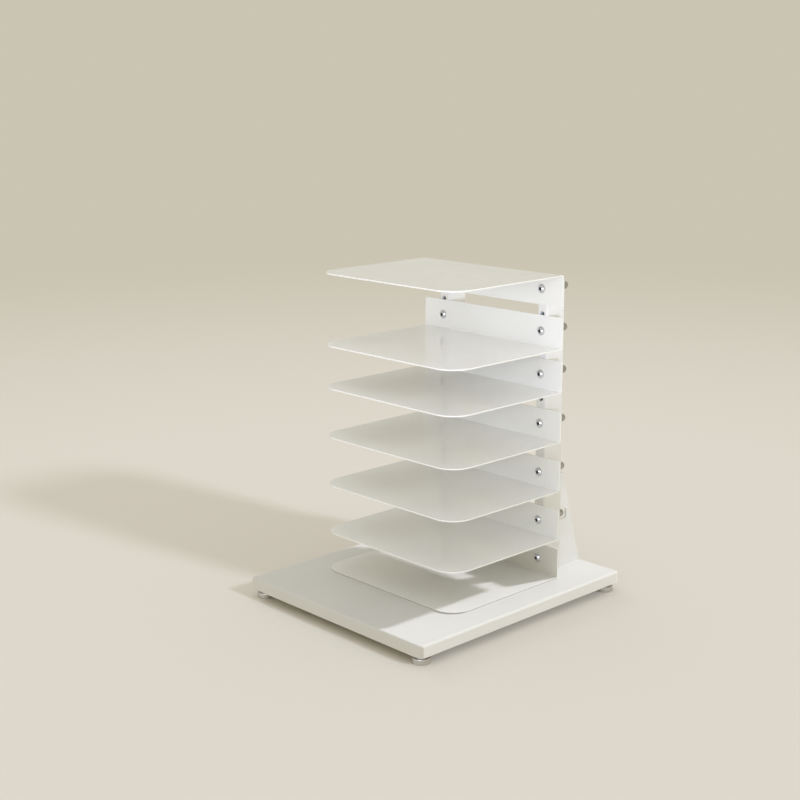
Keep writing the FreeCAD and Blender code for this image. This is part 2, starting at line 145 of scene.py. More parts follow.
class TowerSizes(bpy.types.PropertyGroup):
    """Sizes that the boxes of the frame's nodes don't give."""

    sheet: length("Sheet", "Thickness of the sheet that the shelves are bent from", 0.002)
    shelf_corner: length("Shelf corner", "Radius of a shelf's two front corners", 0.034)
    shelf_bend: length("Shelf bend", "Outside radius of the bend between tray and flange", 0.004)
    flange_corner: length("Flange corner", "Radius of the corners at a flange's tip", 0.002)
    bolt_hole: length("Bolt hole", "Diameter of the bolt holes in a flange", 0.0085)
    paint_edge: length("Paint edge", "Radius of the edges of sheet and plate, and chamfer of bolts", 0.0005)
    laid_edge: length("Laid edge", "Radius of the edges of the shelf that lies on the base", 0.0002)
    laid_undercut: length("Laid undercut", "Chamfer under the rim of the shelf on the base", 0.0015)
    gusset_nose: length("Gusset nose", "Width of a gusset's blunt top", 0.007)
    gusset_toe: length("Gusset toe", "Height of a gusset's blunt back", 0.003)
    notch_room: length("Notch room", "Room round a nut in the notch of a gusset", 0.002)
    notch_corner: length("Notch corner", "Radius of the corners inside a gusset's notch", 0.005)
    plug_corner: length("Plug corner", "Radius of a plug's corners, as on the tube", 0.003)
    plug_edge: length("Plug edge", "Radius of the edge round a plug's top", 0.0011)
    plug_head: length("Plug head", "Height of a plug over the end of its tube", 0.002)
    plug_inset: length("Plug inset", "How far a plug's skirt stands in from its head", 0.0021)
    plug_wall: length("Plug wall", "Thickness of a plug's skirt", 0.002)
    bolt: length("Bolt", "Diameter of the shelf bolts and the foot studs", 0.008)
    bolt_head: length("Bolt head", "Diameter of a bolt's button head", 0.014)
    bolt_head_height: length("Bolt head height", "Height of a bolt's button head", 0.004)
    bolt_rim: length("Bolt rim", "Height of the straight rim under a button head's crown", 0.0008)
    bolt_socket: length("Bolt socket", "Width across the flats of a bolt's socket", 0.005)
    bolt_socket_depth: length("Bolt socket depth", "Depth of a bolt's socket", 0.0026)
    nut: length("Nut", "Width across the flats of the nuts and the foot collars", 0.013)
    nut_hex: length("Nut hexagon", "Height of a dome nut's hexagon", 0.0065)
    nut_bore: length("Nut bore", "Depth of a dome nut's blind bore", 0.011)
    hex_chamfer: length("Hexagon chamfer", "Height of the turned chamfer on a hexagon's corners", 0.0008)
    foot_socket: length("Foot socket", "Thickness of a foot disc under its stud", 0.003)
    foot_top_edge: length("Foot top edge", "Radius of the upper edge of a foot disc", 0.0017)
    foot_floor_edge: length("Foot floor edge", "Radius of the lower edge of a foot disc", 0.0007)
    collar: length("Collar", "Height of the hexagon collar on a foot stud", 0.0022)
    pitch: length("Pitch", "Pitch of the thread on a foot stud", 0.00125)
    thread_depth: length("Thread depth", "Depth of the thread on a foot stud", 0.00068)
    screw: length("Screw", "Diameter of the base screws", 0.0045)
    screw_head: length("Screw head", "Diameter of a base screw's countersunk head", 0.0085)
    screw_room: length("Screw room", "Room round the head of a base screw", 0.00015)
    screw_point: length("Screw point", "Length of a base screw's point", 0.003)
    screw_socket: length("Screw socket", "Width across the flats of a base screw's socket", 0.0022)
    screw_socket_depth: length("Screw socket depth", "Depth of a base screw's socket", 0.0003)


class TowerFinishes(bpy.types.PropertyGroup):
    """Colours of the paint, the board, the plastic and the plated metals, and the painted shade inside the
    bolts' sockets.
    """

    paint: colour("Paint", "White powder coat", 0.87, 0.87, 0.858)
    paint_thin: colour("Thin paint", "The powder coat where it lies a little thinner", 0.845, 0.843, 0.825)
    board: colour("Board", "White paint on the base board", 0.77, 0.77, 0.757)
    board_worn: colour("Dull board", "The board's paint where it is a little duller", 0.745, 0.743, 0.725)
    plastic: colour("Plastic", "White moulded plastic of the plugs", 0.78, 0.78, 0.765)
    plastic_dull: colour("Dull plastic", "The plastic where it is a little duller", 0.74, 0.738, 0.72)
    bright: colour("Bright plate", "Bright plating on the bolts", 0.80, 0.82, 0.86)
    bright_dull: colour("Dull bright plate", "The bright plating where it is handled", 0.68, 0.695, 0.725)
    # socket and its darker tone below: painted shade, a near-black colour that stands in for the shade
    # inside the bolts' sockets
    socket: colour("Socket", "Dull plating inside the bolts' sockets", 0.075, 0.073, 0.07)
    socket_deep: colour("Deep socket", "The dull plating where it is darkest", 0.045, 0.044, 0.042)
    zinc: colour("Zinc", "Zinc plate on the studs, inserts and weld nuts", 0.63, 0.645, 0.66)
    zinc_dark: colour("Dark zinc", "The darker crystals in the zinc plate", 0.47, 0.48, 0.49)
    foot: colour("Foot", "Satin plating on the foot discs", 0.70, 0.69, 0.66)
    foot_dull: colour("Dull foot", "The foot discs' plating where it is duller", 0.58, 0.57, 0.545)
    nut: colour("Nut plate", "Grey plating on the dome nuts", 0.52, 0.51, 0.49)
    nut_dull: colour("Dull nut plate", "The dome nuts' plating where it is duller", 0.42, 0.412, 0.395)


class TowerStage(bpy.types.PropertyGroup):
    """The camera, the lamps and the floor."""

    camera_turn: turn("Camera turn", "Camera's angle round the tower, from the front to the right", 46.97)
    camera_rise: turn("Camera rise", "Camera's angle above the level", 13.31)
    camera_roll: turn("Camera roll", "Camera's lean", -0.39)
    camera_distance: length("Camera distance", "Distance from the camera to the point it aims at", 2.1906)
    camera_lens: level("Lens", "Camera's focal length in millimetres", 63.36)
    aim: position("Aim", "Point that the camera aims at", -0.0788, 0.0, 0.2966)
    fall: level("Fall", "Share of the front and right lamps lost from a shelf to the next one down", 0.107)
    post_place: position("Post lamp", "Place of the spot lamp on the uprights", 1.40, -1.02, 0.50)
    post_target: position("Post target", "Point that the post lamp faces", 0.11, 0.14, 0.54)
    post_spread: turn("Post spread", "Angle of the post lamp's beam, which fades out to its edge", 23.0)
    post_size: length("Post size", "Radius of the post lamp", 0.15)
    post_strength: level("Post strength", "Strength in watts of the post lamp", 86.0)
    post_tint: colour("Post tint", "Colour of the post lamp", 0.74, 0.79, 1.0)
    front_place: position("Front lamp", "Place of the broad lamp at the front", 0.75, -1.50, 0.54)
    front_target: position("Front target", "Point that the front lamp faces", 0.0, 0.0, 0.54)
    front_width: length("Front width", "Width of the broad lamp at the front", 1.2)
    front_height: length("Front height", "Height of the broad lamp at the front", 0.5)
    front_strength: level("Front strength", "Strength in watts of the front lamp at the top shelf", 16.3)
    front_tint: colour("Front tint", "Colour of the front lamp", 0.777, 0.831, 1.0)
    metal_share: level("Metal share", "Share of the front lamp that shines on the bolts and feet", 0.68)
    flag_gap: length("Flag gap", "Room between an unseen card and the face that it shades", 0.0005)
    sky_low: colour("Low sky", "Light of the room near the level", 0.68, 0.63, 0.41)
    sky_high: colour("High sky", "Light of the room overhead", 0.76, 0.76, 0.78)
    room: colour("Room", "Colour of the room behind the tower", 0.597, 0.555, 0.452)
    floor: colour("Floor", "Colour of the floor", 0.8, 0.752, 0.666)
    floor_reach: length("Floor reach", "Radius of the floor", 14.0)
    fade_start: length("Fade start", "Distance at which the floor starts to fade into the room", 0.5)
    fade_end: length("Fade end", "Distance at which the floor has faded into the room", 4.0)


# Each far lamp's turn, rise and spread in degrees, strength and tint, which become the stage's settings.
FAR_LAMPS = {
    "key": (73.0, 26.5, 4.0, 3.28, (0.917, 0.927, 1.0)),
    "floor": (9.0, 30.0, 7.0, 1.26, (0.726, 0.811, 1.0)),
    "fill": (172.0, 30.0, 20.0, 0.36, (0.726, 0.811, 1.0)),
    "side": (8.0, 6.0, 40.0, 0.66, (0.73, 0.79, 1.0)),
    "right": (-8.0, 24.0, 14.0, 0.98, (0.94, 0.95, 1.0)),
    "back": (90.0, 2.0, 20.0, 0.95, (0.86, 0.90, 1.0)),
    "upper": (-50.0, 38.0, 50.0, 0.36, (0.75, 0.765, 1.0)),
}
for lamp_name, lamp_settings in FAR_LAMPS.items():
    TowerStage.__annotations__.update(far_lamp(lamp_name, *lamp_settings))


def near(first, second):
    """Whether two numbers are the same but for rounding."""
    return abs(first - second) < NEAR


def only(kind, geometry):
    """The vertices, edges or faces among what an operator gives."""
    return [part for part in geometry if isinstance(part, kind)]


def lift(bm, geometry, height):
    """Moves the vertices of some geometry up, or down by a height below zero."""
    bmesh.ops.translate(bm, verts=only(BMVert, geometry), vec=(0.0, 0.0, height))


def add_sheet(bm, place):
    """A flat square from -1 to 1, set in its place by a matrix. Gives its vertices."""
    return bmesh.ops.create_grid(bm, x_segments=1, y_segments=1, size=1.0, matrix=place)["verts"]


def edges_at(edges, axis, value):
    """The edges that lie at one value of a coordinate."""
    return [edge for edge in edges if all(near(vert.co[axis], value) for vert in edge.verts)]


def lowest_face(bm):
    return min(bm.faces, key=lambda face: face.calc_center_median().z)


def edges_between(verts):
    """The edges with both ends among some vertices."""
    chosen = set(verts)
    found = [edge for vert in verts for edge in vert.link_edges if set(edge.verts) <= chosen]
    return list(dict.fromkeys(found))


def bevel(bm, parts, size, segments, affect="EDGES"):
    """Rounds edges, or the corners of a flat outline."""
    bmesh.ops.bevel(bm, geom=parts, offset=size, offset_type="OFFSET", affect=affect, segments=segments,
                    profile=0.5, material=-1, clamp_overlap=True)


def sharp_edges(bm):
    """The edges that turn a sharp corner."""
    return [edge for edge in bm.edges if edge.is_manifold and edge.calc_face_angle() > EDGE_ANGLE]


def outline(bm, points):
    """A line through points of radius and height, to be turned on the Z axis. Gives its last vertex."""
    verts = [bm.verts.new((radius, 0.0, height)) for radius, height in points]
    for pair in zip(verts, verts[1:]):
        bm.edges.new(pair)
    return verts[-1]


def carry_round(bm, vert, centre, angle, steps):
    """Carries an outline on from its last vertex, up an arc about a point of the Z axis."""
    bmesh.ops.spin(bm, geom=[vert], cent=(0.0, 0.0, centre), axis=(0.0, 1.0, 0.0), angle=-angle,
                   steps=steps)


def lathe(bm):
    """Turns the outline in a bmesh right round the Z axis."""
    bmesh.ops.spin(bm, geom=bm.verts[:] + bm.edges[:], cent=(0.0, 0.0, 0.0), axis=(0.0, 0.0, 1.0),
                   angle=math.tau, steps=TURN_STEPS, use_merge=True)
    bmesh.ops.remove_doubles(bm, verts=bm.verts, dist=MERGE)


def bevel_ring(bm, radius, height, size, segments):
    """Rounds the edge that runs round the Z axis at one radius and height."""
    ring = [edge for edge in bm.edges
            if all(near(vert.co.xy.length, radius) and near(vert.co.z, height) for vert in edge.verts)]
    bevel(bm, ring, size, segments)


def cut_across(bm, point, normal, clear=False):
    """Cuts along a plane and, if wanted, takes off what lies beyond it. Gives the cut's edges."""
    cut = bmesh.ops.bisect_plane(bm, geom=bm.verts[:] + bm.edges[:] + bm.faces[:], dist=MERGE,
                                 plane_co=point, plane_no=normal, clear_outer=clear)
    return only(BMEdge, cut["geom_cut"])


def slice_off(bm, point, normal):
    """Takes off what lies beyond a plane and closes the cut."""
    bmesh.ops.holes_fill(bm, edges=cut_across(bm, point, normal, clear=True), sides=0)


def hex_corner(width):
    """The radius of a hexagon's corners, from its width across the flats."""
    return width / 2 / math.cos(math.pi / HEX_SIDES)


def cut_hexagon(bm, width):
    """Cuts six flats on a turned shape, so that its chamfer is left on the corners."""
    for side in range(HEX_SIDES):
        flat = Matrix.Rotation(side * math.tau / HEX_SIDES, 3, "Z") @ Vector((1.0, 0.0, 0.0))
        slice_off(bm, flat * width / 2, flat)


def sink_socket(bm, width, depth):
    """Sinks a hexagon socket into the open ring at the top of a turned head."""
    mouth = [edge for edge in bm.edges if edge.is_boundary]
    top = max(vert.co.z for vert in mouth[0].verts)
    lead_end = Matrix.Translation((0.0, 0.0, top - width / SOCKET_LEAD))
    ring = bmesh.ops.create_circle(bm, cap_ends=False, segments=HEX_SIDES, radius=hex_corner(width),
                                   matrix=lead_end)["verts"]
    bmesh.ops.subdivide_edges(bm, edges=edges_between(ring), cuts=TURN_STEPS // HEX_SIDES - 1)
    hexagon = [edge for edge in bm.edges if edge.is_wire]
    bmesh.ops.bridge_loops(bm, edges=mouth + hexagon)
    walls = bmesh.ops.extrude_edge_only(bm, edges=hexagon)["geom"]
    lift(bm, walls, -depth)
    ends = bmesh.ops.contextual_create(bm, geom=edges_between(only(BMVert, walls)))["faces"]
    poked = bmesh.ops.poke(bm, faces=ends)
    lift(bm, poked["verts"], -width / SOCKET_END)
    # The socket's walls and end take the second finish, which on the bolts is painted shade.
    for face in only(BMFace, walls) + poked["faces"]:
        face.material_index = INNER_FINISH


def mesh_of(name, bm):
    """Makes a bmesh a mesh and lets it go."""
    mesh = bpy.data.meshes.new(name)
    bm.to_mesh(mesh)
    bm.free()
    return mesh


def add_object(name, data):
    """Makes an object of some data and puts it into the scene."""
    thing = bpy.data.objects.new(name, data)
    bpy.context.scene.collection.objects.link(thing)
    return thing


def add_copies(shape, places, bm=None):
    """Adds one shape at several places to a bmesh, or to a new one, and gives it."""
    bm = bm or bmesh.new()
    mesh = mesh_of("shape", shape)
    for place in places:
        count = len(bm.verts)
        bm.from_mesh(mesh)
        bm.verts.ensure_lookup_table()
        bmesh.ops.transform(bm, matrix=place, verts=bm.verts[count:])
    bpy.data.meshes.remove(mesh)
    return bm


def make_piece(name, bm, finish, slot, body, nodes, *inner):
    """Makes a bmesh a piece of the tower, which rides on a body and stands for nodes of the frame.

    A second finish, if there is one, is for the inside of sockets; on the bolts it is painted shade.
    """
    bmesh.ops.recalc_face_normals(bm, faces=bm.faces)
    mesh = mesh_of(name, bm)
    mesh.shade_smooth()
    mesh.set_sharp_from_angle(angle=SHARP_ANGLE)
    for coat in (finish, *inner):
        mesh.materials.append(coat)
    piece = add_object(name, mesh)
    even = piece.modifiers.new("even_shading", "WEIGHTED_NORMAL")
    even.keep_sharp = True
    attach(piece, body)
    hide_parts(*nodes)


class Nodes:
    """Builds a tree of shader nodes."""

    def __init__(self, tree):
        self.tree = tree
        tree.nodes.clear()

    def add(self, kind, inputs=None, **settings):
        """Adds a node. An input that is named takes a value, or the output of another node."""
        node = self.tree.nodes.new(kind)
        for setting, value in settings.items():
            setattr(node, setting, value)
        for name, value in (inputs or {}).items():
            if isinstance(value, bpy.types.NodeSocket):
                self.join(value, node.inputs[name])
            else:
                node.inputs[name].default_value = value
        return node

    def join(self, output, socket):
        self.tree.links.new(output, socket)


class Finish(Nodes):
    """Builds one material: a principled shader fed by patterns on the object's own coordinates."""

    def __init__(self, name):
        self.material = bpy.data.materials.new(name)
        self.material.use_nodes = True
        super().__init__(self.material.node_tree)
        self.shader = self.add("ShaderNodeBsdfPrincipled")
        self.surface = self.add("ShaderNodeOutputMaterial").inputs["Surface"]
        self.join(self.shader.outputs["BSDF"], self.surface)
        self.place = self.add("ShaderNodeTexCoord").outputs["Object"]

    def noise(self, scale, detail=2.0, stretch=None):
        """A noise pattern with so many features to the metre."""
        place = self.place
        if stretch:
            place = self.add("ShaderNodeMapping", {"Vector": place, "Scale": stretch}).outputs["Vector"]
        node = self.add("ShaderNodeTexNoise", {"Vector": place, "Scale": scale, "Detail": detail})
        return node.outputs["Fac"]

    def cells(self, scale):
        """A pattern of crystals with so many to the metre."""
        return self.add("ShaderNodeTexVoronoi", {"Vector": self.place, "Scale": scale}).outputs["Color"]

    def spread(self, pattern, low, high):
        """A pattern's middle range drawn out between two values."""
        node = self.add("ShaderNodeMapRange", {"Value": pattern, "From Min": PATTERN_LOW,
                                               "From Max": PATTERN_HIGH, "To Min": low, "To Max": high})
        return node.outputs["Result"]

    def tint(self, pattern, first, second):
        """Colours the surface between two colours by a pattern."""
        node = self.add("ShaderNodeMix", data_type="RGBA")
        sockets = {socket.identifier: socket for socket in [*node.inputs, *node.outputs]}
        sockets["A_Color"].default_value = first
        sockets["B_Color"].default_value = second
        self.join(self.spread(pattern, 0.0, 1.0), sockets["Factor_Float"])
        self.join(sockets["Result_Color"], self.shader.inputs["Base Color"])

    def gloss(self, pattern, low, high):
        self.join(self.spread(pattern, low, high), self.shader.inputs["Roughness"])

    def texture(self, *grains):
        """Raises the surface by patterns, each with the height in metres that it stands."""
        normal = None
        for pattern, height in grains:
            bump = self.add("ShaderNodeBump", {"Height": pattern, "Strength": 1.0, "Distance": height})
            if normal:
                self.join(normal, bump.inputs["Normal"])
            normal = bump.outputs["Normal"]
        self.join(normal, self.shader.inputs["Normal"])

    def metal(self):
        self.shader.inputs["Metallic"].default_value = 1.0


def made_once(paint):
    """Turns a function that paints a finish into one that gives its material, made at the first call."""
    def give():
        name = paint.__name__
        if name not in bpy.data.materials:
            paint(Finish(name), bpy.context.scene.tower_finishes)
        return bpy.data.materials[name]
    return give


@made_once
def powder_coat(made, colours):
    """Satin white powder coat: broad orange peel with a fine grain."""
    made.tint(made.noise(9.0, 3.0), colours.paint, colours.paint_thin)
    made.gloss(made.noise(35.0, 3.0), 0.11, 0.17)
    made.texture((made.noise(420.0, 1.0), 4.0e-6), (made.noise(2200.0, 2.0), 8.0e-7))


@made_once
def board_paint(made, colours):
    """White lacquer rolled on the board, with a roller's stipple."""
    made.tint(made.noise(6.0, 4.0), colours.board, colours.board_worn)
    made.gloss(made.noise(18.0, 4.0), 0.38, 0.52)
    made.texture((made.noise(260.0, 2.0), 3.0e-5), (made.noise(1500.0, 2.0), 5.0e-6))


@made_once
def moulded_plastic(made, colours):
    """Matt white plastic with the mould's fine grain."""
    made.tint(made.noise(60.0), colours.plastic, colours.plastic_dull)
    made.gloss(made.noise(300.0), 0.42, 0.58)
    made.texture((made.noise(2600.0, 1.0), 1.2e-5))


def plate(made, first, second, low, high):
    """Plating with faint turning marks and duller handled patches."""
    made.metal()
    made.tint(made.noise(240.0, 4.0), first, second)
    made.gloss(made.noise(520.0, 3.0), low, high)
    made.texture((made.noise(900.0, 2.0, (1.0, 4.0, 1.0)), 3.0e-6))


@made_once
def bright_plate(made, colours):
    """Bright plating on the bolts."""
    plate(made, colours.bright, colours.bright_dull, 0.22, 0.34)


@made_once
def socket_shade(made, colours):
    """Painted shade inside the bolts' sockets: a dull near-black finish that stands in for the shade in the
    recess.
    """
    made.tint(made.noise(900.0, 3.0), colours.socket, colours.socket_deep)
    made.gloss(made.noise(520.0, 3.0), 0.45, 0.65)
    made.texture((made.noise(1600.0, 2.0), 4.0e-6))


@made_once
def grey_plate(made, colours):
    """Grey plating on the dome nuts."""
    plate(made, colours.nut, colours.nut_dull, 0.24, 0.38)


@made_once
def zinc_plate(made, colours):
    """Zinc plate with small crystals of two tones."""
    made.metal()
    made.tint(made.cells(700.0), colours.zinc, colours.zinc_dark)
    made.gloss(made.noise(400.0, 3.0), 0.30, 0.46)
    made.texture((made.noise(1600.0, 2.0), 4.0e-6))


@made_once
def satin_plate(made, colours):
    """Satin plating on the foot discs, dulled in patches."""
    made.metal()
    made.tint(made.noise(130.0, 4.0), colours.foot, colours.foot_dull)
    made.gloss(made.noise(300.0, 3.0), 0.28, 0.42)
    made.texture((made.noise(1400.0, 2.0, (1.0, 1.0, 6.0)), 4.0e-6))


def add_holes(bm, face, places, radius):
    """Opens round holes in a flat face."""
    border = list(face.edges)
    turned = face.normal.to_track_quat("Z", "Y").to_matrix().to_4x4()
    bmesh.ops.delete(bm, geom=[face], context="FACES_ONLY")
    for place in places:
        ring = bmesh.ops.create_circle(bm, cap_ends=False, segments=TURN_STEPS, radius=radius,
                                       matrix=Matrix.Translation(place) @ turned)
        border += edges_between(ring["verts"])
    bmesh.ops.triangle_fill(bm, edges=border, use_beauty=True)


def folded_shelf(name, low, high, sizes):
    """A tray with rounded front corners whose back edge is bent up into a drilled flange.

    The one that is screwed to the base has holes for the screws and an undercut rim.
    """
    bm = bmesh.new()
    screwed = name == BOTTOM_SHELF
    fold = high.y - sizes.shelf_bend
    centre = Vector(((low.x + high.x) / 2, (low.y + fold) / 2, low.z))
    half = Vector(((high.x - low.x) / 2, (fold - low.y) / 2, 1.0))
    tray = add_sheet(bm, Matrix.Translation(centre) @ Matrix.Diagonal((*half, 1.0)))
    bevel(bm, [vert for vert in tray if near(vert.co.y, low.y)], sizes.shelf_corner, segments=14,
          affect="VERTICES")
    back = edges_at(bm.edges, Y_AXIS, fold)
    bend = bmesh.ops.spin(bm, geom=back, cent=(0.0, fold, low.z + sizes.shelf_bend), axis=(1.0, 0.0, 0.0),
                          angle=math.pi / 2, steps=8)["geom_last"]
    tip = only(BMVert, bmesh.ops.extrude_edge_only(bm, edges=only(BMEdge, bend))["geom"])
    lift(bm, tip, high.z - tip[0].co.z)
    bevel(bm, tip, sizes.flange_corner, segments=5, affect="VERTICES")
    bm.normal_update()
    flange = max(bm.faces, key=lambda face: face.calc_center_median().z)
    add_holes(bm, flange, bolt_places([name], high.y), sizes.bolt_hole / 2)
    if screwed:
        add_holes(bm, lowest_face(bm), screw_places(low.z, sizes), sizes.screw_head / 2 + sizes.screw_room)
    bmesh.ops.remove_doubles(bm, verts=bm.verts, dist=MERGE)
    bmesh.ops.recalc_face_normals(bm, faces=bm.faces)
    if lowest_face(bm).normal.z > 0.0:
        bmesh.ops.reverse_faces(bm, faces=bm.faces)
    bmesh.ops.solidify(bm, geom=bm.faces[:], thickness=sizes.sheet)
    if screwed:
        bevel(bm, edges_at(sharp_edges(bm), Z_AXIS, low.z), sizes.laid_undercut, segments=1)
    bevel(bm, sharp_edges(bm), sizes.laid_edge if screwed else sizes.paint_edge, segments=3)
    return bm


def screw_places(height, sizes):
    """Where the base screws cross a level."""
    low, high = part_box("base_screws")
    head = sizes.screw_head / 2
    return [(x, y, height) for x in (low.x + head, high.x - head) for y in (low.y + head, high.y - head)]


def upright_centre(side):
    low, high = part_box(f"upright_{side}")
    return (low + high) / 2


class TOWER_OT_shelves(bpy.types.Operator):
    """Bends the seven shelves from sheet, each with its drilled flange and painted edges"""

    bl_idname = "tower.shelves"
    bl_label = "Shelves"

    def execute(self, context):
        sizes = context.scene.tower_sizes
        for name in SHELVES:
            low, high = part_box(name)
            bm = folded_shelf(name, low, high, sizes)
            if name == TOP_SHELF:
                middle = Matrix.Translation((0.0, 0.0, (low.z + high.z) / 2))
                turned = middle @ Matrix.Diagonal((1.0, 1.0, -1.0, 1.0)) @ middle.inverted()
                bmesh.ops.transform(bm, matrix=turned, verts=bm.verts)
            make_piece(f"bent_{name}", bm, powder_coat(), "white_powder_coat", TOWER, [name])
        return {"FINISHED"}


def notched_plate(low, high, nut, sizes):
    """A plate with a sloping back edge and, in its front edge, a notch round a nut."""
    bm = bmesh.new()
    half, middle = (high - low) / 2, (low + high) / 2
    upright = Matrix(((0.0, 0.0, 1.0, low.x), (half.y, 0.0, 0.0, middle.y), (0.0, half.z, 0.0, middle.z),
                      (0.0, 0.0, 0.0, 1.0)))
    add_sheet(bm, upright)
    run = high.y - low.y - sizes.gusset_nose
    drop = high.z - low.z - sizes.gusset_toe
    cut_across(bm, (low.x, high.y, low.z + sizes.gusset_toe), (0.0, drop, run), clear=True)
    depth = nut.y + sizes.notch_room
    bottom, top = (nut.z + way * (sizes.nut / 2 + sizes.notch_room) for way in (-1.0, 1.0))
    cut_across(bm, (low.x, depth, nut.z), (0.0, 1.0, 0.0))
    for height in (bottom, top):
        cut_across(bm, (low.x, depth, height), (0.0, 0.0, 1.0))
    notch = []
    for face in bm.faces:
        centre = face.calc_center_median()
        if centre.y < depth and bottom < centre.z < top:
            notch.append(face)
    bmesh.ops.delete(bm, geom=notch, context="FACES")
    bmesh.ops.dissolve_limit(bm, angle_limit=NEAR, verts=bm.verts[:], edges=bm.edges[:])
    inner = [vert for vert in bm.verts if near(vert.co.y, depth) and bottom - NEAR < vert.co.z < top + NEAR]
    bevel(bm, inner, sizes.notch_corner, segments=6, affect="VERTICES")
    pulled = bmesh.ops.extrude_face_region(bm, geom=bm.faces[:])["geom"]
    bmesh.ops.translate(bm, verts=only(BMVert, pulled), vec=(high.x - low.x, 0.0, 0.0))
    bmesh.ops.recalc_face_normals(bm, faces=bm.faces)
    bevel(bm, sharp_edges(bm), sizes.paint_edge, segments=3)
    return bm


class TOWER_OT_gussets(bpy.types.Operator):
    """Cuts the two gusset plates behind the uprights, with a notch for a nut, and eases their edges"""

    bl_idname = "tower.gussets"
    bl_label = "Gussets"

    def execute(self, context):
        sizes = context.scene.tower_sizes
        lowest = bolt_places(BOLTED_SHELVES[:1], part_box("dome_nuts")[1].y)
        for side, nut in zip(SIDES, lowest):
            node = f"gusset_{side}"
            bm = notched_plate(*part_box(node), nut, sizes)
            make_piece(f"plate_{node}", bm, powder_coat(), "white_powder_coat", TOWER, [node])
        return {"FINISHED"}


def inset_and_pull(bm, faces, inset, height):
    """Insets faces and pulls what is left of them up or down. Gives the pulled faces."""
    bmesh.ops.inset_region(bm, faces=faces, thickness=inset, use_even_offset=True)
    pulled = bmesh.ops.extrude_face_region(bm, geom=faces)["geom"]
    bmesh.ops.delete(bm, geom=faces, context="FACES_ONLY")
    lift(bm, pulled, height)
    return only(BMFace, pulled)


def plug_shape(low, high, sizes):
    """A plug with a rounded head and a hollow skirt."""
    bm = bmesh.new()
    size = high - low
    drop = low.z - high.z + sizes.plug_head
    centre = Vector(((low.x + high.x) / 2, (low.y + high.y) / 2, high.z - sizes.plug_head / 2))
    head = Matrix.Translation(centre) @ Matrix.Diagonal((size.x, size.y, sizes.plug_head, 1.0))
    bmesh.ops.create_cube(bm, size=1.0, matrix=head)
    upright = [edge for edge in bm.edges if near((edge.verts[0].co - edge.verts[1].co).xy.length, 0.0)]
    bevel(bm, upright, sizes.plug_corner, segments=6)
    bevel(bm, edges_at(bm.edges, Z_AXIS, high.z), sizes.plug_edge, segments=4)
    mouth = inset_and_pull(bm, [lowest_face(bm)], sizes.plug_inset, drop)
    inset_and_pull(bm, mouth, sizes.plug_wall, -drop)
    return bm


class TOWER_OT_plugs(bpy.types.Operator):
    """Moulds the plugs that close the uprights, each with a rounded head and a hollow skirt"""

    bl_idname = "tower.plugs"
    bl_label = "Plugs"

    def execute(self, context):
        sizes = context.scene.tower_sizes
        for side in SIDES:
            node = f"upright_plug_{side}"
            bm = plug_shape(*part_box(node), sizes)
            make_piece(f"moulded_{node}", bm, moulded_plastic(), "white_plastic", TOWER, [node])
        return {"FINISHED"}


def button_bolt(sizes, shank):
    """A button-head bolt whose head sits on the plane of zero height and faces up the Z axis."""
    bm = bmesh.new()
    radius, head = sizes.bolt / 2, sizes.bolt_head / 2
    flat = sizes.bolt_socket * SOCKET_MOUTH
    rise = sizes.bolt_head_height - sizes.bolt_rim
    centre = (flat ** 2 + sizes.bolt_head_height ** 2 - head ** 2 - sizes.bolt_rim ** 2) / 2 / rise
    edge = sizes.paint_edge
    last = outline(bm, [(0.0, -shank), (radius - edge, -shank), (radius, edge - shank), (radius, 0.0),
                        (head - edge, 0.0), (head, edge), (head, sizes.bolt_rim)])
    crown = math.atan2(head, sizes.bolt_rim - centre) - math.atan2(flat, sizes.bolt_head_height - centre)
    carry_round(bm, last, centre, crown, steps=7)
    lathe(bm)
    sink_socket(bm, sizes.bolt_socket, sizes.bolt_socket_depth)
    return bm


def facing(place, towards):
    """The place of a fastener made along Z, turned to face the front (-1) or the back (1)."""
    return Matrix.Translation(place) @ Matrix.Rotation(-towards * math.pi / 2, 4, "X")


def bolt_places(shelves, y):
    """Where the bolts of some shelves cross a plane of constant depth."""
    places = []
    for name in shelves:
        low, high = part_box(name)
        places += [Vector((upright_centre(side).x, y, (low.z + high.z) / 2)) for side in SIDES]
    return places


class TOWER_OT_bolts(bpy.types.Operator):
    """Turns the bolts that hold the flanges to the uprights, each with a hexagon socket"""

    bl_idname = "tower.bolts"
    bl_label = "Bolts"

    def execute(self, context):
        sizes = context.scene.tower_sizes
        for node, shelves in (("shelf_bolts", BOLTED_SHELVES), ("bottom_bolts", [BOTTOM_SHELF])):
            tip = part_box(node)[1].y
            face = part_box(shelves[0])[1].y - sizes.sheet
            places = [facing(place, -1) for place in bolt_places(shelves, face)]
            bm = add_copies(button_bolt(sizes, tip - face), places)
            # The bolts' sockets take painted shade as their second finish.
            make_piece(f"turned_{node}", bm, bright_plate(), "bright_steel", TOWER, [node], socket_shade())
        return {"FINISHED"}


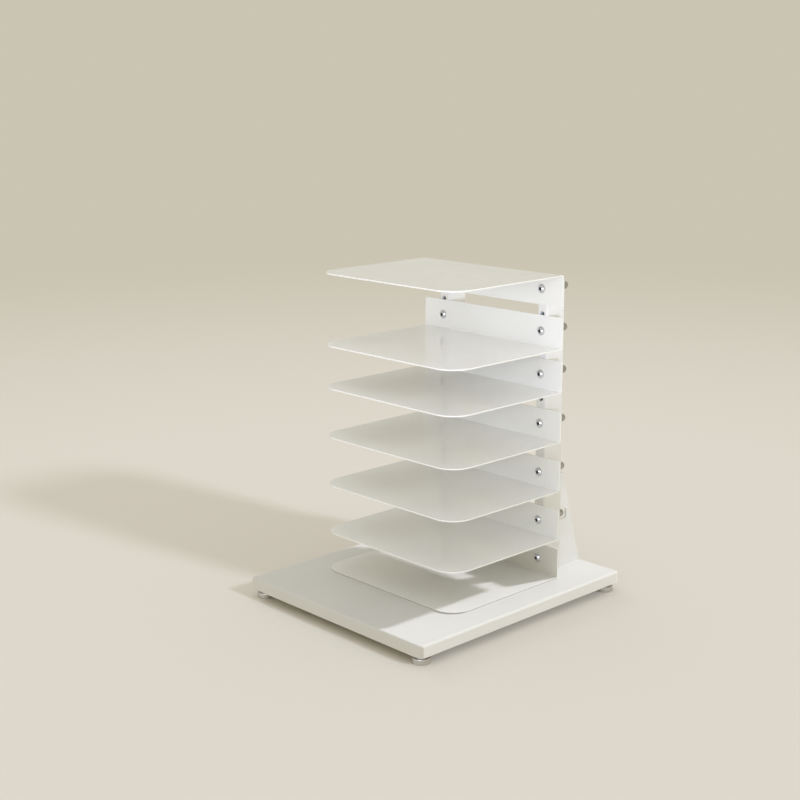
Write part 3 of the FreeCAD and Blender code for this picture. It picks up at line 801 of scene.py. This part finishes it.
class TOWER_OT_nuts(bpy.types.Operator):
    """Turns the dome nuts behind the uprights, with chamfered hexagons and a blind bore"""

    bl_idname = "tower.nuts"
    bl_label = "Dome nuts"

    def execute(self, context):
        sizes = context.scene.tower_sizes
        low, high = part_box("dome_nuts")
        tall = high.y - low.y
        dome = sizes.nut / 2 - DOME_STEP
        stock = hex_corner(sizes.nut) + HEX_PAST
        bore = sizes.bolt / 2
        shape = bmesh.new()
        last = outline(shape, [(0.0, sizes.nut_bore), (bore, sizes.nut_bore), (bore, sizes.hex_chamfer / 2),
                               (bore + sizes.hex_chamfer / 2, 0.0), (dome - HEX_FACE, 0.0),
                               (stock, sizes.hex_chamfer), (stock, sizes.nut_hex - sizes.hex_chamfer),
                               (dome, sizes.nut_hex), (dome, tall - dome)])
        carry_round(shape, last, tall - dome, math.pi / 2, steps=10)
        lathe(shape)
        cut_hexagon(shape, sizes.nut)
        bm = add_copies(shape, [facing(place, 1) for place in bolt_places(BOLTED_SHELVES, low.y)])
        make_piece("turned_dome_nuts", bm, grey_plate(), "bright_steel", TOWER, ["dome_nuts"])
        return {"FINISHED"}


def threaded_rod(sizes, low, high):
    """A rod on the Z axis with a true screw thread between two heights."""
    bm = bmesh.new()
    crest, pitch = sizes.bolt / 2, sizes.pitch
    root = crest - sizes.thread_depth
    start = low - pitch
    turns = math.ceil((high - low) / pitch) + 1
    outline(bm, [(root, start), (root, start + pitch * THREAD_RISE), (crest, start + pitch * THREAD_CREST),
                 (crest, start + pitch * THREAD_FALL), (root, start + pitch)])
    bmesh.ops.spin(bm, geom=bm.verts[:] + bm.edges[:], cent=(0.0, 0.0, 0.0), axis=(0.0, 0.0, 1.0),
                   dvec=(0.0, 0.0, pitch / THREAD_STEPS), angle=math.tau * turns,
                   steps=THREAD_STEPS * turns)
    bmesh.ops.remove_doubles(bm, verts=bm.verts, dist=THREAD_MERGE)
    for height, way in ((low, -1.0), (high, 1.0)):
        slice_off(bm, (0.0, 0.0, height), (0.0, 0.0, way))
    return bm


class TOWER_OT_feet(bpy.types.Operator):
    """Turns the levelling feet: a disc, and a threaded stud with a hexagon collar"""

    bl_idname = "tower.feet"
    bl_label = "Levelling feet"

    def execute(self, context):
        sizes = context.scene.tower_sizes
        for foot in FEET:
            self.turn_disc(foot, sizes)
            self.turn_stud(foot, sizes)
        return {"FINISHED"}

    def turn_disc(self, foot, sizes):
        node = f"foot_disc_{foot}"
        low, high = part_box(node)
        radius, stud = (high.x - low.x) / 2, sizes.bolt / 2
        tall = high.z - low.z
        bm = bmesh.new()
        outline(bm, [(0.0, sizes.foot_socket), (stud, sizes.foot_socket), (stud, tall), (radius, tall),
                     (radius, 0.0), (0.0, 0.0)])
        lathe(bm)
        bevel_ring(bm, radius, tall, sizes.foot_top_edge, segments=5)
        bevel_ring(bm, radius, 0.0, sizes.foot_floor_edge, segments=3)
        middle = (low + high) / 2
        bmesh.ops.translate(bm, verts=bm.verts, vec=(middle.x, middle.y, low.z))
        make_piece(f"turned_{node}", bm, satin_plate(), "foot_metal", f"foot_{foot}", [node])

    def turn_stud(self, foot, sizes):
        node = f"foot_stud_{foot}"
        low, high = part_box(node)
        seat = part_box(f"foot_disc_{foot}")[1].z
        neck = seat + sizes.collar
        stud = sizes.bolt / 2
        stock = hex_corner(sizes.nut) + HEX_PAST
        bm = bmesh.new()
        outline(bm, [(0.0, low.z), (stud, low.z), (stud, seat), (sizes.nut / 2 - HEX_FACE, seat),
                     (stock, seat + sizes.hex_chamfer), (stock, neck - sizes.hex_chamfer),
                     (sizes.nut / 2 - HEX_FACE, neck), (0.0, neck)])
        lathe(bm)
        cut_hexagon(bm, sizes.nut)
        add_copies(threaded_rod(sizes, neck, high.z), [Matrix()], bm)
        middle = (low + high) / 2
        bmesh.ops.translate(bm, verts=bm.verts, vec=(middle.x, middle.y, 0.0))
        make_piece(f"threaded_{node}", bm, zinc_plate(), "zinc_steel", f"foot_{foot}", [node])


class TOWER_OT_screws(bpy.types.Operator):
    """Turns the countersunk screws that hold the bottom shelf to the base"""

    bl_idname = "tower.screws"
    bl_label = "Base screws"

    def execute(self, context):
        sizes = context.scene.tower_sizes
        low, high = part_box("base_screws")
        head, shank = sizes.screw_head / 2, sizes.screw / 2
        shape = bmesh.new()
        outline(shape, [(0.0, low.z - high.z), (shank, low.z - high.z + sizes.screw_point),
                        (shank, shank - head), (head, -SCREW_RIM), (head - SCREW_RIM, 0.0),
                        (sizes.screw_socket * SOCKET_MOUTH, 0.0)])
        lathe(shape)
        sink_socket(shape, sizes.screw_socket, sizes.screw_socket_depth)
        bm = add_copies(shape, [Matrix.Translation(place) for place in screw_places(high.z, sizes)])
        make_piece("turned_base_screws", bm, powder_coat(), "white_powder_coat", TOWER, ["base_screws"],
                   powder_coat())
        return {"FINISHED"}


class TOWER_OT_carried(bpy.types.Operator):
    """Gives the base board, the uprights, the inserts and the weld nuts their finishes"""

    bl_idname = "tower.carried"
    bl_label = "Base, uprights and inserts"

    def execute(self, context):
        finishes = {"base_board": board_paint(), "upright_left": powder_coat(),
                    "upright_right": powder_coat(), "foot_inserts": zinc_plate(),
                    "weld_nuts": zinc_plate()}
        for name, finish in finishes.items():
            node = frame["nodes"][name]
            for slot in node.material_slots:
                slot.material = finish
            if not node.material_slots:
                node.data.materials.append(finish)
        return {"FINISHED"}


def direction(turned, rise):
    """The direction at an angle from the right side to the back and at an angle above the level."""
    return Vector((math.cos(rise) * math.cos(turned), math.cos(rise) * math.sin(turned), math.sin(rise)))


def linked(name, members):
    """A collection of objects that a lamp is linked to."""
    group = bpy.data.collections.new(name)
    for member in members:
        group.objects.link(member)
    for entry in group.collection_objects:
        entry.light_linking.link_state = "INCLUDE"
    return group


def add_lamp(lamp, towards, strength, tint, receivers, gleam=False):
    """Hangs up a lamp that shines from one direction on some objects alone, with or without its gleam."""
    lamp.energy = strength
    lamp.color = tint[:3]
    holder = add_object(lamp.name, lamp)
    holder.visible_glossy = gleam
    holder.rotation_mode = "QUATERNION"
    holder.rotation_quaternion = towards.to_track_quat("Z", "Y")
    holder.light_linking.receiver_collection = linked(f"{lamp.name}_receivers", receivers)
    return holder


def values_of(stage, lamp, *names):
    return [getattr(stage, f"{lamp}_{name}") for name in names]


def add_sun(name, stage, receivers, share=1.0):
    """A far lamp with the stage's settings of that name, or a share of it."""
    turned, rise, spread = values_of(stage, name, "turn", "rise", "spread")
    strength, tint = values_of(stage, name, "strength", "tint")
    lamp = bpy.data.lights.new(f"{name}_lamp", "SUN")
    lamp.angle = spread
    return add_lamp(lamp, direction(turned, rise), strength * share, tint, receivers)


def add_near(lamp, name, stage, receivers, share=1.0, gleam=False):
    """A lamp near the tower with the stage's settings of that name, or a share of it."""
    place, target, strength, tint = values_of(stage, name, "place", "target", "strength", "tint")
    holder = add_lamp(lamp, Vector(place) - Vector(target), strength * share, tint, receivers, gleam)
    holder.location = place


def add_front(name, stage, receivers, share, gleam=False):
    """The broad lamp at the front, low enough to reach the flanges under the trays."""
    lamp = bpy.data.lights.new(name, "AREA")
    lamp.shape = "RECTANGLE"
    lamp.size = stage.front_width
    lamp.size_y = stage.front_height
    add_near(lamp, "front", stage, receivers, share, gleam)


def add_post_spot(stage, receivers):
    """A spot lamp level with the tops of the uprights, whose beam fades out towards the base."""
    lamp = bpy.data.lights.new("post_lamp", "SPOT")
    lamp.spot_size = stage.post_spread
    lamp.spot_blend = 1.0
    lamp.shadow_soft_size = stage.post_size
    add_near(lamp, "post", stage, receivers)


def stage_object(name, bm):
    """Makes a bmesh an object apart from the tower, which rides on no body."""
    thing = add_object(name, mesh_of(name, bm))
    return thing


def dressed(*names):
    """The visible objects of some pieces and nodes."""
    return [bpy.data.objects[name] if name in bpy.data.objects else frame["nodes"][name] for name in names]


class TOWER_OT_stage(bpy.types.Operator):
    """Sets the camera, the floor, the room's light and the lamps"""

    bl_idname = "tower.stage"
    bl_label = "Stage"

    def execute(self, context):
        stage = context.scene.tower_stage
        context.scene.view_settings.view_transform = "Standard"
        self.set_camera(stage)
        self.set_room(stage)
        floor = self.lay_floor(stage)
        self.light_base(stage)
        self.set_flags(stage)
        self.light_shelves(stage)
        self.light_metal(stage)
        self.light_floor(stage, floor)
        return {"FINISHED"}

    def set_camera(self, stage):
        lens = bpy.data.cameras.new("camera")
        lens.lens = stage.camera_lens
        lens.clip_end = FAR_CLIP
        camera = add_object("camera", lens)
        across, rise = stage.camera_turn, stage.camera_rise
        back = Vector((math.sin(across) * math.cos(rise), -math.cos(across) * math.cos(rise),
                       math.sin(rise)))
        camera.matrix_world = (Matrix.Translation(Vector(stage.aim) + back * stage.camera_distance)
                               @ Matrix.Rotation(across, 4, "Z")
                               @ Matrix.Rotation(math.pi / 2 - rise, 4, "X")
                               @ Matrix.Rotation(stage.camera_roll, 4, "Z"))
        bpy.context.scene.camera = camera

    def set_room(self, stage):
        """The room's light, and the plain colour that is seen and mirrored in its place."""
        room = bpy.data.worlds.new("room")
        room.use_nodes = True
        nodes = Nodes(room.node_tree)
        coordinates = nodes.add("ShaderNodeTexCoord").outputs["Generated"]
        split = nodes.add("ShaderNodeSeparateXYZ", {"Vector": coordinates})
        ramp = nodes.add("ShaderNodeValToRGB", {"Fac": split.outputs["Z"]})
        ramp.color_ramp.elements[0].color = stage.sky_low
        ramp.color_ramp.elements[1].color = stage.sky_high
        light = nodes.add("ShaderNodeBackground", {"Color": ramp.outputs["Color"]})
        shown = nodes.add("ShaderNodeBackground", {"Color": stage.room})
        rays = nodes.add("ShaderNodeLightPath").outputs
        seen = rays["Is Camera Ray"]
        for ray in ("Is Glossy Ray", "Is Transmission Ray"):
            either = nodes.add("ShaderNodeMath", {0: seen, 1: rays[ray]}, operation="MAXIMUM")
            seen = either.outputs["Value"]
        mix = nodes.add("ShaderNodeMixShader", {"Fac": seen, 1: light.outputs["Background"],
                                                2: shown.outputs["Background"]})
        nodes.add("ShaderNodeOutputWorld", {"Surface": mix.outputs["Shader"]})
        bpy.context.scene.world = room

    def lay_floor(self, stage):
        """A broad floor that fades into the room. Gives its object."""
        bm = bmesh.new()
        bmesh.ops.create_circle(bm, cap_ends=True, segments=TURN_STEPS, radius=stage.floor_reach)
        floor = stage_object("floor", bm)
        made = Finish("floor_paint")
        made.shader.inputs["Base Color"].default_value = stage.floor
        made.shader.inputs["Roughness"].default_value = FLOOR_ROUGHNESS
        made.shader.inputs["Specular IOR Level"].default_value = FLOOR_SPECULAR
        distance = made.add("ShaderNodeVectorMath", {0: made.place}, operation="LENGTH").outputs["Value"]
        fade = made.add("ShaderNodeMapRange", {"Value": distance, "From Min": stage.fade_start,
                                               "From Max": stage.fade_end},
                        interpolation_type="SMOOTHSTEP")
        far = made.add("ShaderNodeEmission", {"Color": stage.room})
        mix = made.add("ShaderNodeMixShader", {"Fac": fade.outputs["Result"],
                                               1: made.shader.outputs["BSDF"],
                                               2: far.outputs["Emission"]})
        made.join(mix.outputs["Shader"], made.surface)
        floor.data.materials.append(made.material)
        return floor

    def light_base(self, stage):
        """The key lamp on the base and on what lies on it."""
        add_sun("key", stage, dressed("base_board", f"bent_{BOTTOM_SHELF}", "turned_base_screws"))

    def set_flags(self, stage):
        """Unseen cards close behind the base and its shelf, which keep the key lamp off their backs."""
        for node in ("base_board", BOTTOM_SHELF):
            low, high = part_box(node)
            middle, half = (low + high) / 2, (high - low) / 2
            card = (Matrix.Translation((middle.x, high.y + stage.flag_gap, middle.z))
                    @ Matrix.Diagonal((half.x, 1.0, half.z, 1.0))
                    @ Matrix.Rotation(math.pi / 2, 4, "X"))
            bm = bmesh.new()
            add_sheet(bm, card)
            flag = stage_object(f"flag_{node}", bm)
            for ray in ("camera", "diffuse", "glossy", "transmission"):
                setattr(flag, f"visible_{ray}", False)

    def light_shelves(self, stage):
        """The front and right lamps, weaker for each shelf further down, and those for a few pieces."""
        gussets = [f"plate_gusset_{side}" for side in SIDES]
        for down, name in enumerate(reversed(BOLTED_SHELVES)):
            lit = dressed(f"bent_{name}", *(gussets if name == "shelf_4" else []))
            share = 1.0 - stage.fall * down
            add_front(f"front_lamp_{name}", stage, lit, share)
            add_sun("right", stage, dressed(f"bent_{name}"), share)
        add_sun("upper", stage, dressed("bent_shelf_5", "bent_shelf_6"))
        add_sun("side", stage, dressed(*gussets))
        posts = [f"{kind}_{side}" for kind in ("upright", "moulded_upright_plug") for side in SIDES]
        add_post_spot(stage, dressed(*posts))
        add_sun("back", stage, dressed(*posts, *(f"bent_{name}" for name in BOLTED_SHELVES)))

    def light_metal(self, stage):
        """The front lamp once more, for the gleam of the bolts and the feet."""
        bolts = ["turned_shelf_bolts", "turned_bottom_bolts"]
        add_front("front_lamp_metal", stage, dressed(*bolts, *FOOT_DISCS), stage.metal_share, gleam=True)

    def light_floor(self, stage, floor):
        """The floor lamp, and a fill lamp from the left that only the base and the feet shade."""
        add_sun("floor", stage, [floor])
        fill = add_sun("fill", stage, [floor])
        casters = dressed("base_board", *FOOT_DISCS)
        fill.light_linking.blocker_collection = linked("fill_lamp_casters", casters)


MAKERS = (TOWER_OT_carried, TOWER_OT_shelves, TOWER_OT_gussets, TOWER_OT_plugs, TOWER_OT_bolts,
          TOWER_OT_nuts, TOWER_OT_feet, TOWER_OT_screws, TOWER_OT_stage)


class VIEW3D_PT_tower(bpy.types.Panel):
    """Lists what makes the tower"""

    bl_label = "Board game tower"
    bl_space_type = "VIEW_3D"
    bl_region_type = "UI"
    bl_category = "Tower"

    def draw(self, context):
        for maker in MAKERS:
            self.layout.operator(maker.bl_idname)


GROUPS = {"tower_sizes": TowerSizes, "tower_finishes": TowerFinishes, "tower_stage": TowerStage}
CLASSES = (*GROUPS.values(), *MAKERS, VIEW3D_PT_tower)


def register():
    for cls in CLASSES:
        bpy.utils.register_class(cls)
    for name, group in GROUPS.items():
        setattr(bpy.types.Scene, name, PointerProperty(type=group))


def unregister():
    for name in GROUPS:
        delattr(bpy.types.Scene, name)
    for cls in reversed(CLASSES):
        bpy.utils.unregister_class(cls)


def main():
    register()
    bpy.ops.tower.carried()
    bpy.ops.tower.shelves()
    bpy.ops.tower.gussets()
    bpy.ops.tower.plugs()
    bpy.ops.tower.bolts()
    bpy.ops.tower.nuts()
    bpy.ops.tower.feet()
    bpy.ops.tower.screws()
    bpy.ops.tower.stage()


if __name__ == "__main__":
    main()
